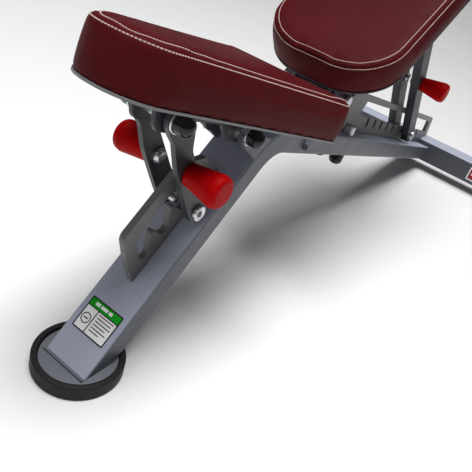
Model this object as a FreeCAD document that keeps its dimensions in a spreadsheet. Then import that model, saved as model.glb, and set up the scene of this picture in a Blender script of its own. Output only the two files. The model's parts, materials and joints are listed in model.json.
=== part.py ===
import FreeCAD, Part
import math
import os
import Sketcher

# Adjustable incline bench: a bent box-section frame with two notched ladders, a seat pad and a
# back pad that hinge on it, and a pair of prop arms under each pad whose pins rest in a ladder.
# Millimetres.  +Y runs from the front foot to the rear foot, +X is to the right of that, +Z is up,
# and the origin is the centre of the front foot on the floor.

SIZES = {
    # bent frame tube: the top faces of the leg and the beam would meet at the bend point
    "bend_y": 293.0, "bend_z": 333.0, "leg_slope": 44.66, "beam_slope": 13.73,
    "leg_reach": 447.4, "beam_reach": 1120.0, "tube_width": 80.0, "tube_depth": 40.0,
    "tube_corner": 4.0, "tube_wall": 3.0, "bend_radius": 82.0, "leg_overrun": 60.0,
    # front foot
    "foot_radius": 65.0, "foot_height": 24.0, "foot_rim": 9.0, "foot_floor": 12.0,
    "foot_plate_radius": 55.0, "foot_plate_thick": 6.5, "weld_width": 5.0, "weld_height": 4.0,
    # rear cross tube and its feet
    "cross_y": 1379.5, "cross_size": 63.0, "cross_bottom": 28.0, "cross_span": 600.0,
    "cross_corner": 5.0, "cap_thick": 4.0, "pad_foot_length": 60.0,
    "pad_foot_inset": 5.0, "pad_foot_round": 6.0,
    # ladders: flat plates on edge along the middle of the leg and of the beam
    "ladder_thick": 10.0,
    "front_ladder_start": 142.0, "front_ladder_lean": 36.0, "front_ladder_height": 87.0,
    "front_ladder_end": 345.0, "front_tail_step": 7.0, "front_tail_height": 52.0,
    "front_tail_lean": 42.0, "front_bar": 22.0, "front_window_start": 180.0,
    "front_window_end": 328.0, "front_window_lean": 20.0, "front_tooth_top": 41.5,
    "front_tooth_lean": 17.0, "front_tooth_round": 1.4, "front_notch_first": 183.0,
    "front_notch_pitch": 44.1, "front_notch_count": 4.0, "front_notch_radius": 9.5,
    "front_pin_height": 25.0,
    "rear_ladder_start": 352.7, "rear_ladder_lean": 18.0, "rear_ladder_height": 85.0,
    "rear_ladder_end": 1102.0, "rear_bar": 14.0, "rear_window_start": 422.0,
    "rear_window_end": 1077.0, "rear_tooth_top": 38.0, "rear_notch_first": 500.0,
    "rear_notch_pitch": 54.6, "rear_notch_count": 10.0, "rear_notch_radius": 8.5,
    "rear_pin_height": 24.0, "rear_tooth_round": 4.0,
    # pivots, as places in the side view
    "seat_hinge_y": 215.0, "seat_hinge_z": 336.0, "seat_pivot_y": 60.0, "seat_pivot_z": 379.0,
    "seat_pin_y": 150.0, "seat_pin_z": 227.0, "back_hinge_y": 465.0, "back_hinge_z": 360.0,
    "back_pivot_y": 819.9, "back_pivot_z": 519.5, "back_pin_y": 1100.0, "back_pin_z": 161.0,
    "axle_radius": 8.0, "pin_radius": 7.0, "fit_gap": 0.05, "open_gap": 0.6,
    # seat, in its own plane: reach is measured from the arm pivot, drop is pad over pivots
    "seat_slope": -13.0, "seat_drop": 18.3, "seat_front": 117.2, "seat_rear": 283.0,
    "seat_nose_width": 101.0, "seat_tail_width": 232.0, "seat_nose_round": 56.0,
    "seat_tail_round": 9.0,
    "board_thick": 3.0, "seat_foam": 59.0, "foam_inset": 1.0,
    "seat_plate_x": 14.0, "seat_plate_thick": 6.0,
    # back, in its own plane: reach is measured from the hinge
    "back_slope": 32.5, "back_drop": 32.3, "back_start": 21.0, "back_end": 799.0,
    "back_width": 240.0, "back_low_round": 90.0, "back_top_round": 60.0, "back_foam": 53.0,
    "back_plate_x": 32.3, "back_plate_thick": 6.0, "back_plate_reach": 530.0,
    # arms
    "seat_arm_x": 23.5, "seat_arm_thick": 8.0, "arm_end_round": 15.5, "arm_top_round": 16.0,
    "back_arm_x": 11.5, "back_arm_thick": 20.0, "back_arm_half": 19.0,
    # frame brackets
    "seat_bracket_x": 32.0, "seat_bracket_thick": 8.0, "seat_bracket_round": 16.0,
    "back_bracket_x": 40.0, "back_bracket_thick": 8.0, "back_bracket_round": 22.0,
    # grips: tapered handles on the outer faces of the arms
    "seat_grip_length": 57.0, "back_grip_length": 63.0, "grip_small": 15.5, "grip_large": 23.0,
    "grip_bore": 6.0, "grip_round": 7.0, "grip_bolt": 5.9, "grip_nut": 11.0, "grip_nut_height": 9.0,
    # turned fasteners
    "head_radius": 12.0, "head_height": 6.0, "cap_radius": 12.5, "cap_length": 21.0,
    "cap_dome": 9.0, "ring_radius": 14.5, "ring_thick": 3.0,
    "stud_x": 20.0, "stud_along": 362.0, "stud_nut_radius": 11.0, "stud_nut_height": 20.0,
    "stud_cap_radius": 14.0, "stud_cap_height": 26.0,
    "screw_radius": 6.5, "screw_height": 3.5,
    # labels
    "label_thick": 0.4, "label_width": 60.0, "label_length": 50.0, "label_along": 46.0,
    "rear_label_width": 62.0, "rear_label_height": 40.0, "rear_label_x": 212.0,
}


class Size:
    """A number that remembers the spreadsheet expression it comes from."""

    def __init__(self, number, text):
        self.number = float(number)
        self.text = text

    def __add__(self, other):
        other = size(other)
        return Size(self.number + other.number, f"({self.text} + {other.text})")

    def __sub__(self, other):
        other = size(other)
        return Size(self.number - other.number, f"({self.text} - {other.text})")

    def __mul__(self, other):
        other = size(other)
        return Size(self.number * other.number, f"({self.text} * {other.text})")

    def __truediv__(self, other):
        other = size(other)
        return Size(self.number / other.number, f"({self.text} / {other.text})")

    def __neg__(self):
        return Size(-self.number, f"(-1 * {self.text})")


def size(value):
    """Wrap a plain number, so that it can be mixed with sheet sizes."""
    return value if isinstance(value, Size) else Size(value, f"{float(value):.6f}")


def make_sheet(doc):
    """Put every driving size in its own named cell."""
    sheet = doc.addObject("Spreadsheet::Sheet", "sizes")
    for row, (name, value) in enumerate(SIZES.items(), start=1):
        sheet.set(f"A{row}", name)
        sheet.set(f"B{row}", str(value))
        sheet.setAlias(f"B{row}", name)
    doc.recompute()
    return sheet


doc = FreeCAD.newDocument("incline_bench")
SHEET = make_sheet(doc)
NODES = []


def cell(name):
    """The size in one cell, with the expression that reads it."""
    return Size(SHEET.get(name), f"sizes.{name}")


# ---------------------------------------------------------------- frames of reference

def side_frame(y, z, slope, x=0.0):
    """Local x runs up a slope in the side view, local y is its normal and local z is +X."""
    angle = math.radians(slope)
    along = FreeCAD.Vector(0, math.cos(angle), math.sin(angle))
    normal = FreeCAD.Vector(0, -math.sin(angle), math.cos(angle))
    turn = FreeCAD.Rotation(along, normal, FreeCAD.Vector(1, 0, 0), "ZXY")
    return FreeCAD.Placement(FreeCAD.Vector(x, y, z), turn)


def pad_frame(y, z, slope):
    """Local x is +X, local y runs up the slope and local z is the normal of the slope."""
    turn = FreeCAD.Rotation(FreeCAD.Vector(1, 0, 0), slope)
    return FreeCAD.Placement(FreeCAD.Vector(0, y, z), turn)


def shifted(frame, x=0.0, y=0.0, z=0.0):
    """The same frame, moved along its own axes."""
    return frame.multiply(FreeCAD.Placement(FreeCAD.Vector(x, y, z), FreeCAD.Rotation()))


def upright_frame(x, y, z, up=1):
    """Local x points up, or down when up is -1, for turned parts that stand on end."""
    turn = FreeCAD.Rotation(FreeCAD.Vector(0, 1, 0), -90 * up)
    return FreeCAD.Placement(FreeCAD.Vector(x, y, z), turn)


def value(name):
    """The plain number in one cell."""
    return cell(name).number


def leg_frame():
    """Along the top face of the leg, from the foot plate up to the bend."""
    angle = math.radians(value("leg_slope"))
    y = value("bend_y") - value("leg_reach") * math.cos(angle)
    z = value("bend_z") - value("leg_reach") * math.sin(angle)
    return side_frame(y, z, value("leg_slope"))


def beam_frame():
    """Along the top face of the beam, from the bend down to the rear."""
    return side_frame(value("bend_y"), value("bend_z"), -value("beam_slope"))


def seat_frame():
    """The seat's plane: its origin is the arm pivot."""
    return pad_frame(value("seat_pivot_y"), value("seat_pivot_z"), value("seat_slope"))


def link_frame(start, end, x=0.0):
    """Local x runs from one named pivot to another, and its length is returned too."""
    y, z = value(start + "_y"), value(start + "_z")
    rise, run = value(end + "_z") - z, value(end + "_y") - y
    return side_frame(y, z, math.degrees(math.atan2(rise, run)), x), math.hypot(rise, run)


# ---------------------------------------------------------------- building blocks

def keep(shape_object, label):
    """Give a finished sub-part the name of its node."""
    shape_object.Label = label
    NODES.append(shape_object)
    return shape_object


def bind(item, path, amount):
    """Tie a property or a sketch constraint to the sheet."""
    item.setExpression(path, size(amount).text)


def plane_of(body, role):
    """One of a body's own origin planes or axes."""
    return next(feature for feature in body.Origin.OriginFeatures if feature.Role == role)


def new_sketch(body, role="XY_Plane"):
    sketch = body.newObject("Sketcher::SketchObject", "sketch")
    sketch.AttachmentSupport = [(plane_of(body, role), "")]
    sketch.MapMode = "FlatFace"
    return sketch


def fix_number(sketch, kind, first, second, amount):
    """Measure a sketch point from the sketch's origin, and bind it."""
    number = amount.number
    if abs(number) < 1e-9:
        axis = -2 if kind == "DistanceX" else -1
        sketch.addConstraint(Sketcher.Constraint("PointOnObject", first, second, axis))
        return
    index = sketch.addConstraint(Sketcher.Constraint(kind, -1, 1, first, second, number))
    bind(sketch, f"Constraints[{index}]", amount)


def draw_polygon(sketch, corners):
    """A closed outline whose corners are all bound to the sheet."""
    corners = [(size(x), size(y)) for x, y in corners]
    first = sketch.GeometryCount
    points = [FreeCAD.Vector(x.number, y.number, 0) for x, y in corners]
    for start, end in zip(points, points[1:] + points[:1]):
        sketch.addGeometry(Part.LineSegment(start, end))
    count = len(corners)
    for step in range(count):
        joint = Sketcher.Constraint("Coincident", first + step, 2, first + (step + 1) % count, 1)
        sketch.addConstraint(joint)
    for step, (x, y) in enumerate(corners):
        fix_number(sketch, "DistanceX", first + step, 1, x)
        fix_number(sketch, "DistanceY", first + step, 1, y)
    return sketch


def draw_circle(sketch, x, y, radius):
    x, y, radius = size(x), size(y), size(radius)
    centre = FreeCAD.Vector(x.number, y.number, 0)
    circle = Part.Circle(centre, FreeCAD.Vector(0, 0, 1), radius.number)
    index = sketch.addGeometry(circle)
    fix_number(sketch, "DistanceX", index, 3, x)
    fix_number(sketch, "DistanceY", index, 3, y)
    rim = sketch.addConstraint(Sketcher.Constraint("Radius", index, radius.number))
    bind(sketch, f"Constraints[{rim}]", radius)
    return sketch


def pad(body, sketch, length):
    feature = body.newObject("PartDesign::Pad", "pad")
    feature.Profile = sketch
    bind(feature, "Length", length)
    doc.recompute()
    return feature


def pocket_through(body, sketch):
    """Cut a sketch through the whole body, both ways."""
    volume = body.Shape.Volume
    feature = body.newObject("PartDesign::Pocket", "pocket")
    feature.Profile = sketch
    feature.Type = "ThroughAll"
    feature.Midplane = True
    doc.recompute()
    if body.Shape.Volume > volume - 1e-3:
        raise RuntimeError(f"{body.Label}: the pocket removes nothing")
    return feature


def round_edges(body, radius, wanted):
    """Fillet the edges of the body's tip that the test picks."""
    tip = body.Tip
    names = [f"Edge{number}" for number, edge in enumerate(tip.Shape.Edges, start=1) if wanted(edge)]
    if not names:
        raise RuntimeError(f"{body.Label}: no edge to round")
    feature = body.newObject("PartDesign::Fillet", "round")
    feature.Base = (tip, names)
    bind(feature, "Radius", radius)
    doc.recompute()
    return feature


def upright_at(*corners):
    """Picks the edges along local z that stand on the given corners of the outline."""
    spots = [(size(x).number, size(y).number) for x, y in corners]

    def wanted(edge):
        ends = [vertex.Point for vertex in edge.Vertexes]
        if len(ends) != 2 or abs(ends[0].z - ends[1].z) < 1e-6:
            return False
        here = ends[0]
        level = math.hypot(here.x - ends[1].x, here.y - ends[1].y) < 1e-6
        return level and any(math.hypot(here.x - x, here.y - y) < 0.01 for x, y in spots)
    return wanted


def plate(name, frame, outline, thick, rounds=(), windows=(), holes=()):
    """A flat plate: an outline with rounded corners, windows and round holes."""
    body = doc.addObject("PartDesign::Body", name)
    pad(body, draw_polygon(new_sketch(body), outline), thick)
    for window in windows:
        pocket_through(body, draw_polygon(new_sketch(body), window))
    for radius, corners in rounds:
        round_edges(body, radius, upright_at(*corners))
    if holes:
        sketch = new_sketch(body)
        for x, y, radius in holes:
            draw_circle(sketch, x, y, radius)
        pocket_through(body, sketch)
    body.Placement = frame
    return body


def turned(name, frame, profile, rounds=()):
    """A part turned about its local x: the profile lists (along, radius) corners."""
    body = doc.addObject("PartDesign::Body", name)
    sketch = draw_polygon(new_sketch(body), profile)
    feature = body.newObject("PartDesign::Revolution", "turn")
    feature.Profile = sketch
    feature.ReferenceAxis = (sketch, ["H_Axis"])
    feature.Angle = 360
    doc.recompute()
    for radius, along, rim in rounds:
        spot, reach = size(along).number, size(rim).number

        def wanted(edge):
            curve = edge.Curve
            round_rim = isinstance(curve, Part.Circle) and abs(curve.Radius - reach) < 0.01
            return round_rim and abs(curve.Center.x - spot) < 0.01
        round_edges(body, radius, wanted)
    body.Placement = frame
    return body


def rod(start, end, radius):
    """Profile of a plain rod on the axis."""
    return [(start, 0), (end, 0), (end, radius), (start, radius)]


def mirrored(source, name):
    """The same part on the other side of the bench."""
    copy = doc.addObject("Part::Mirroring", name)
    copy.Source = source
    copy.Base = (0, 0, 0)
    copy.Normal = (1, 0, 0)
    return copy


def both_sides(source, label):
    """Left and right copies of a fastener, kept as one group of separate solids."""
    group = doc.addObject("Part::Compound", label)
    group.Links = [source, mirrored(source, label + "_left")]
    return keep(group, label)


def left_and_right(source, name):
    """A right-hand node and its mirror image on the left."""
    keep(source, name + "_right")
    keep(mirrored(source, name + "_mirror"), name + "_left")


def at_pivot(pivot, x=0.0):
    """Frame of a turned part that lies along X on a named pivot."""
    return FreeCAD.Placement(FreeCAD.Vector(x, value(pivot + "_y"), value(pivot + "_z")),
                             FreeCAD.Rotation())


# ---------------------------------------------------------------- frame

def rounded_section(sketch, x, y, width, height, corner):
    """Rectangle with rounded corners, its low corner at x, y."""
    x, y, width, height, corner = (size(item) for item in (x, y, width, height, corner))
    r = corner.number
    x0, y0 = x.number, y.number
    x1, y1 = x0 + width.number, y0 + height.number
    centres = [(x1 - r, y0 + r, -90), (x1 - r, y1 - r, 0), (x0 + r, y1 - r, 90), (x0 + r, y0 + r, 180)]
    ends = [((x0 + r, y0), (x1 - r, y0)), ((x1, y0 + r), (x1, y1 - r)),
            ((x1 - r, y1), (x0 + r, y1)), ((x0, y1 - r), (x0, y0 + r))]
    first = sketch.GeometryCount
    for (start, end), (cx, cy, angle) in zip(ends, centres):
        line = Part.LineSegment(FreeCAD.Vector(*start, 0), FreeCAD.Vector(*end, 0))
        circle = Part.Circle(FreeCAD.Vector(cx, cy, 0), FreeCAD.Vector(0, 0, 1), r)
        sketch.addGeometry(line)
        sketch.addGeometry(Part.ArcOfCircle(circle, math.radians(angle), math.radians(angle + 90)))
    for step in range(4):
        line, arc = first + 2 * step, first + 2 * step + 1
        after = first + (2 * step + 2) % 8
        sketch.addConstraint(Sketcher.Constraint("Tangent", line, 2, arc, 1))
        sketch.addConstraint(Sketcher.Constraint("Tangent", arc, 2, after, 1))
        if step:
            sketch.addConstraint(Sketcher.Constraint("Equal", first + 1, arc))
        sketch.addConstraint(Sketcher.Constraint("Vertical" if step % 2 else "Horizontal", line))
    rim = sketch.addConstraint(Sketcher.Constraint("Radius", first + 1, r))
    bind(sketch, f"Constraints[{rim}]", corner)
    fix_number(sketch, "DistanceX", first + 6, 1, x)
    fix_number(sketch, "DistanceY", first, 1, y)
    fix_number(sketch, "DistanceX", first + 2, 1, x + width)
    fix_number(sketch, "DistanceY", first + 4, 1, y + height)
    return sketch


def sweep_section(body, kind, path, margin):
    """Sweep the tube's section, shrunk by a margin, along the path."""
    profile = new_sketch(body, "YZ_Plane")
    width, depth = cell("tube_width"), cell("tube_depth")
    rounded_section(profile, margin - depth, margin - width / 2, depth - margin * 2,
                    width - margin * 2, cell("tube_corner") - margin * 0.75)
    profile.AttachmentOffset = FreeCAD.Placement(
        FreeCAD.Vector(0, 0, -value("leg_overrun")), FreeCAD.Rotation())
    feature = body.newObject(kind, "sweep")
    feature.Profile = profile
    feature.Spine = path
    doc.recompute()
    return feature


def bend_turn():
    return math.radians(value("leg_slope") + value("beam_slope"))


def bend_straight():
    """How far up the leg the bend starts."""
    outer = value("bend_radius") + value("tube_depth") / 2
    return value("leg_reach") - outer * math.tan(bend_turn() / 2)


def main_tube():
    """Leg, bend and beam are one bent box tube, cut level at the foot and plumb at the rear."""
    body = doc.addObject("PartDesign::Body", "bent_tube")
    path = new_sketch(body)
    half = value("tube_depth") / 2
    turn, radius, straight = bend_turn(), value("bend_radius"), bend_straight()
    start = FreeCAD.Vector(-value("leg_overrun"), -half, 0)
    leg_end = FreeCAD.Vector(straight, -half, 0)
    centre = FreeCAD.Vector(straight, -half - radius, 0)
    circle = Part.Circle(centre, FreeCAD.Vector(0, 0, 1), radius)
    arc = Part.ArcOfCircle(circle, math.pi / 2 - turn, math.pi / 2)
    beam_start = arc.StartPoint
    along = FreeCAD.Vector(math.cos(turn), -math.sin(turn), 0)
    path.addGeometry(Part.LineSegment(start, leg_end))
    path.addGeometry(arc)
    path.addGeometry(Part.LineSegment(beam_start, beam_start + along * value("beam_reach")))
    path.addConstraint(Sketcher.Constraint("Tangent", 0, 2, 1, 2))
    path.addConstraint(Sketcher.Constraint("Tangent", 1, 1, 2, 1))
    path.addConstraint(Sketcher.Constraint("Horizontal", 0))
    fix_number(path, "DistanceX", 0, 1, -cell("leg_overrun"))
    fix_number(path, "DistanceY", 0, 1, -cell("tube_depth") / 2)
    rim = path.addConstraint(Sketcher.Constraint("Radius", 1, radius))
    bind(path, f"Constraints[{rim}]", cell("bend_radius"))
    reach = path.addConstraint(Sketcher.Constraint("Distance", 2, value("beam_reach")))
    bind(path, f"Constraints[{reach}]", cell("beam_reach"))
    doc.recompute()
    sweep_section(body, "PartDesign::AdditivePipe", path, size(0))
    volume = body.Shape.Volume
    sweep_section(body, "PartDesign::SubtractivePipe", path, cell("tube_wall"))
    if body.Shape.Volume > volume * 0.5:
        raise RuntimeError("the frame tube is not hollow")
    body.Placement = leg_frame()

    below = doc.addObject("Part::Box", "below_foot_plate")
    below.Placement = FreeCAD.Placement(FreeCAD.Vector(-200, -200, -400), FreeCAD.Rotation())
    below.Length = 400
    below.Width = 400
    bind(below, "Height", cell("foot_floor") + cell("foot_plate_thick") + 400)
    behind = doc.addObject("Part::Box", "behind_cross_tube")
    front_face = value("cross_y") - value("cross_size") / 2
    behind.Placement = FreeCAD.Placement(FreeCAD.Vector(-200, front_face, -400), FreeCAD.Rotation())
    behind.Length = 400
    behind.Width = 600
    behind.Height = 800
    level = doc.addObject("Part::Cut", "cut_level")
    level.Base = body
    level.Tool = below
    cut = doc.addObject("Part::Cut", "cut_plumb")
    cut.Base = level
    cut.Tool = behind
    keep(cut, "main_tube")


def front_foot():
    """A steel disc under the leg, held in a deep rubber cup."""
    floor, rim = cell("foot_floor"), cell("foot_radius")
    top, inner = cell("foot_height"), cell("foot_radius") - cell("foot_rim")
    profile = [(0, 0), (floor, 0), (floor, inner), (top, inner), (top, rim), (0, rim)]
    rubber = turned("foot_cup", upright_frame(0, 0, 0), profile,
                    [(2.5, 0, rim), (3.5, top, rim), (2.0, top, inner)])
    keep(rubber, "front_foot_rubber")
    disc = rod(0, cell("foot_plate_thick"), cell("foot_plate_radius"))
    plate_frame = upright_frame(0, 0, value("foot_floor"))
    keep(turned("foot_disc", plate_frame, disc), "front_foot_plate")


def weld_strip():
    """The bead that joins the lower edge of the leg to the foot plate."""
    strip = doc.addObject("Part::Wedge", "bead")
    bead_y = leg_frame().Base.y
    for name, amount in (("Xmin", -cell("tube_width") / 2), ("Xmax", cell("tube_width") / 2),
                         ("X2min", -cell("tube_width") / 2), ("X2max", cell("tube_width") / 2),
                         ("Ymin", 0), ("Ymax", cell("weld_height")),
                         ("Zmin", 0), ("Zmax", cell("weld_width")),
                         ("Z2min", cell("weld_width") - 1.5), ("Z2max", cell("weld_width"))):
        bind(strip, name, amount)
    turn = FreeCAD.Rotation(FreeCAD.Vector(1, 0, 0), FreeCAD.Vector(0, 0, 1),
                            FreeCAD.Vector(0, -1, 0), "ZXY")
    level = value("foot_floor") + value("foot_plate_thick")
    strip.Placement = FreeCAD.Placement(
        FreeCAD.Vector(0, bead_y - 0.2, level), turn)
    keep(strip, "foot_weld")


def cross_tube():
    """The rear cross tube, its two end caps and its two rubber feet."""
    wide, wall, corner = cell("cross_size"), cell("tube_wall"), cell("cross_corner")
    span = cell("cross_span")
    frame = side_frame(value("cross_y"), value("cross_bottom") + value("cross_size") / 2, 0,
                       -value("cross_span") / 2)
    body = doc.addObject("PartDesign::Body", "cross_body")
    pad(body, rounded_section(new_sketch(body), -wide / 2, -wide / 2, wide, wide, corner), span)
    inner = wide - wall * 2
    pocket_through(body, rounded_section(new_sketch(body), -inner / 2, -inner / 2, inner, inner,
                                         corner - wall * 0.75))
    body.Placement = frame
    keep(body, "rear_cross_tube")

    cap = doc.addObject("PartDesign::Body", "cap_body")
    pad(cap, rounded_section(new_sketch(cap), -wide / 2, -wide / 2, wide, wide, corner),
        cell("cap_thick"))
    cap.Placement = shifted(frame, z=value("cross_span"))
    both_sides(cap, "rear_end_caps")

    foot = doc.addObject("PartDesign::Body", "foot_body")
    length, tall = cell("pad_foot_length"), cell("cross_bottom")
    pad(foot, rounded_section(new_sketch(foot), -length / 2, -wide / 2, length, wide,
                              cell("pad_foot_round")), tall)
    x = value("cross_span") / 2 - value("pad_foot_inset") - value("pad_foot_length") / 2
    foot.Placement = FreeCAD.Placement(FreeCAD.Vector(x, value("cross_y"), 0), FreeCAD.Rotation())
    both_sides(foot, "rear_rubber_feet")


def cut_notches(body, first, pitch, count, height, radius, top):
    """Round-bottomed notches, repeated along the ladder."""
    sketch = new_sketch(body)
    low, high = size(height), size(top) + 12
    x = size(first)
    lean = size(radius) * 0.45
    draw_polygon(sketch, [(x - radius, low), (x + radius, low), (x + radius - lean * 2, high),
                          (x - radius - lean * 2, high)])
    throat = pocket_through(body, sketch)
    ring = new_sketch(body)
    draw_circle(ring, x, low, radius)
    seat = pocket_through(body, ring)
    pattern = body.newObject("PartDesign::LinearPattern", "notches")
    pattern.Originals = [throat, seat]
    pattern.Direction = (sketch, ["H_Axis"])
    bind(pattern, "Length", size(pitch) * (size(count) - 1))
    bind(pattern, "Occurrences", count)
    body.Tip = pattern
    doc.recompute()


def tooth_tips(top, start, end):
    """Picks the tips of the teeth between two places along the ladder."""
    level, low, high = size(top).number, size(start).number, size(end).number

    def wanted(edge):
        ends = [vertex.Point for vertex in edge.Vertexes]
        if len(ends) != 2 or abs(ends[0].z - ends[1].z) < 1e-6:
            return False
        return abs(ends[0].y - level) < 0.01 and low + 0.5 < ends[0].x < high - 0.5
    return wanted


def notch_row(first, pitch, count, low, radius, top, lean):
    """Lower edge of a window: notches with teeth between them that slope on one side."""
    corners = []
    for step in range(int(count.number)):
        x = first + pitch * step
        corners += [(x - radius, low), (x + radius, low)]
        if step < count.number - 1:
            corners += [(x + radius + lean, top), (x + pitch - radius - 3, top)]
    return corners


def front_ladder():
    """A notched plate on edge along the leg, with a closed hoop over the notches."""
    start, high = cell("front_ladder_start"), cell("front_ladder_height")
    end, lean = cell("front_ladder_end"), cell("front_ladder_lean")
    top, inner = cell("front_tooth_top"), cell("front_ladder_height") - cell("front_bar")
    window_start, window_end = cell("front_window_start"), cell("front_window_end")
    outline = [(start, 0), (end, 0), (end - cell("front_tail_step"), cell("front_tail_height")),
               (end - cell("front_tail_lean"), high), (start + lean, high),
               (start + lean * 0.42, high * 0.5)]
    first, pitch, count = (cell("front_notch_" + name) for name in ("first", "pitch", "count"))
    low, radius = cell("front_pin_height"), cell("front_notch_radius")
    window = notch_row(first, pitch, count, low, radius, top, cell("front_tooth_lean"))
    window += [(window_end, top + 7), (window_end - cell("front_window_lean"), inner),
               (window_start + 13, inner), (window_start + 6, inner - 8)]
    rounds = [(14, outline[3:5]), (30, [outline[5]]), (5, window[-4:-1])]
    notches = [(first + pitch * step, low, radius) for step in range(int(count.number))]
    frame = shifted(leg_frame(), z=-value("ladder_thick") / 2)
    body = plate("front_ladder_body", frame, outline, cell("ladder_thick"), rounds, [window], notches)
    round_edges(body, cell("front_tooth_round"), tooth_tips(top, first, window_end))
    keep(body, "front_ladder")


def rear_ladder():
    """A longer notched plate along the beam, from the back's hinge to the cross tube."""
    start, high = cell("rear_ladder_start"), cell("rear_ladder_height")
    end, bar, lean = cell("rear_ladder_end"), cell("rear_bar"), cell("rear_ladder_lean")
    top = cell("rear_tooth_top")
    window_start, window_end = cell("rear_window_start"), cell("rear_window_end")
    # the plate steps up over the rear cross tube, whose top is level
    slope = math.radians(value("beam_slope"))
    face = value("cross_y") - value("cross_size") / 2 - value("bend_y")
    lip = value("cross_bottom") + value("cross_size") - value("bend_z")
    foot = face / math.cos(slope)
    step_x = face * math.cos(slope) - lip * math.sin(slope)
    step_y = face * math.sin(slope) + lip * math.cos(slope)
    run = 55.0
    outline = [(start, 0), (foot, 0), (step_x, step_y),
               (step_x + run * math.cos(slope), step_y + run * math.sin(slope)),
               (end, high), (start - lean + 20, high), (start - lean, high - 14)]
    window = [(window_start, top), (window_end + 14, top), (window_end, high - bar),
              (window_start + 12, high - bar)]
    rounds = [(8, [outline[4]]), (10, [outline[5], outline[6]]), (5, [window[2], window[3]])]
    body = plate("rear_ladder_body", shifted(beam_frame(), z=-value("ladder_thick") / 2), outline,
                 cell("ladder_thick"), rounds, [window])
    cut_notches(body, cell("rear_notch_first"), cell("rear_notch_pitch"),
                cell("rear_notch_count"), cell("rear_pin_height"), cell("rear_notch_radius"), top)
    round_edges(body, cell("rear_tooth_round"), tooth_tips(top, window_start, window_end + 14))
    keep(body, "rear_ladder")


def in_frame(frame, pivot):
    """A named pivot's place along and above a sloping frame."""
    point = FreeCAD.Vector(0, value(pivot + "_y"), value(pivot + "_z"))
    local = frame.inverse().multVec(point)
    return local.x, local.y


def hinge_brackets():
    """Two plates on the leg carry the seat's axle, two beside the beam carry the back's."""
    ring = cell("seat_bracket_round")
    bore = cell("axle_radius") + cell("fit_gap")
    x, y = in_frame(leg_frame(), "seat_hinge")
    # the foot of the plate follows the start of the bend, 15 degrees round
    turn = math.radians(15)
    rim = value("bend_radius") + value("tube_depth") / 2
    bend_start = bend_straight()
    flat = bend_start + rim * math.tan(turn / 2)
    slant = rim * math.tan(turn / 2) * 2
    outline = [(bend_start - 3, 0), (flat, 0),
               (flat + slant * math.cos(turn), -slant * math.sin(turn)),
               (size(x) + ring, y - 20), (size(x) + ring, size(y) + ring),
               (size(x) - ring, size(y) + ring), (size(x) - ring, y - 10)]
    seat = plate("seat_bracket", shifted(leg_frame(), z=value("seat_bracket_x")), outline,
                 cell("seat_bracket_thick"),
                 [(ring * 0.98, [outline[4], outline[5]]), (6, [outline[6]])],
                 holes=[(x, y, bore)])
    left_and_right(seat, "seat_bracket")

    ring = cell("back_bracket_round")
    x, y = in_frame(beam_frame(), "back_hinge")
    low = -value("tube_depth") + 8
    outline = [(x - 45, low), (x + 45, low), (size(x) + ring, y - 12),
               (size(x) + ring, size(y) + ring), (size(x) - ring, size(y) + ring),
               (size(x) - ring, y - 12)]
    back = plate("back_bracket", shifted(beam_frame(), z=value("back_bracket_x")), outline,
                 cell("back_bracket_thick"),
                 [(ring * 0.98, [outline[3], outline[4]]), (10, [outline[0], outline[1]])],
                 holes=[(x, y, bore)])
    left_and_right(back, "back_bracket")


def black_cap(name, pivot, x):
    """A domed plastic cap over an axle's end."""
    radius, length = cell("cap_radius"), cell("cap_length")
    cap = turned(name, at_pivot(pivot, x), rod(0, length, radius),
                 [(cell("cap_dome"), length, radius)])
    both_sides(cap, name + "s")


def ring_pair(name, pivot, start, thick, radius, bore):
    """A washer or spacer on an axle, one each side."""
    profile = [(0, bore), (thick, bore), (thick, radius), (0, radius)]
    both_sides(turned(name, at_pivot(pivot, start), profile), name + "s")


def axle(name, pivot, half):
    """A plain axle, centred across the bench."""
    half = size(half)
    keep(turned(name + "_rod", at_pivot(pivot), rod(-half, half, cell("axle_radius"))), name)


def frame_axles():
    bore = cell("axle_radius") + cell("fit_gap")
    gap = cell("fit_gap") * 8
    thick = cell("ring_thick")
    outer = cell("seat_bracket_x") + cell("seat_bracket_thick")
    axle("seat_hinge_axle", "seat_hinge", outer + thick)
    ring_pair("seat_hinge_ring", "seat_hinge", outer.number, thick, cell("ring_radius"), bore)
    black_cap("seat_hinge_cap", "seat_hinge", outer.number + thick.number)
    inner = cell("seat_plate_x") + cell("seat_plate_thick") + gap
    ring_pair("seat_hinge_spacer", "seat_hinge", inner.number, cell("seat_bracket_x") - inner,
              cell("head_radius"), bore)

    outer = cell("back_bracket_x") + cell("back_bracket_thick")
    axle("back_hinge_axle", "back_hinge", outer + thick)
    ring_pair("back_hinge_ring", "back_hinge", outer.number, thick, cell("ring_radius"), bore)
    nut = turned("back_hinge_nut", at_pivot("back_hinge", outer.number + thick.number),
                 rod(0, 14, cell("head_radius")), [(4, 14, cell("head_radius"))])
    both_sides(nut, "back_hinge_nuts")


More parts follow.
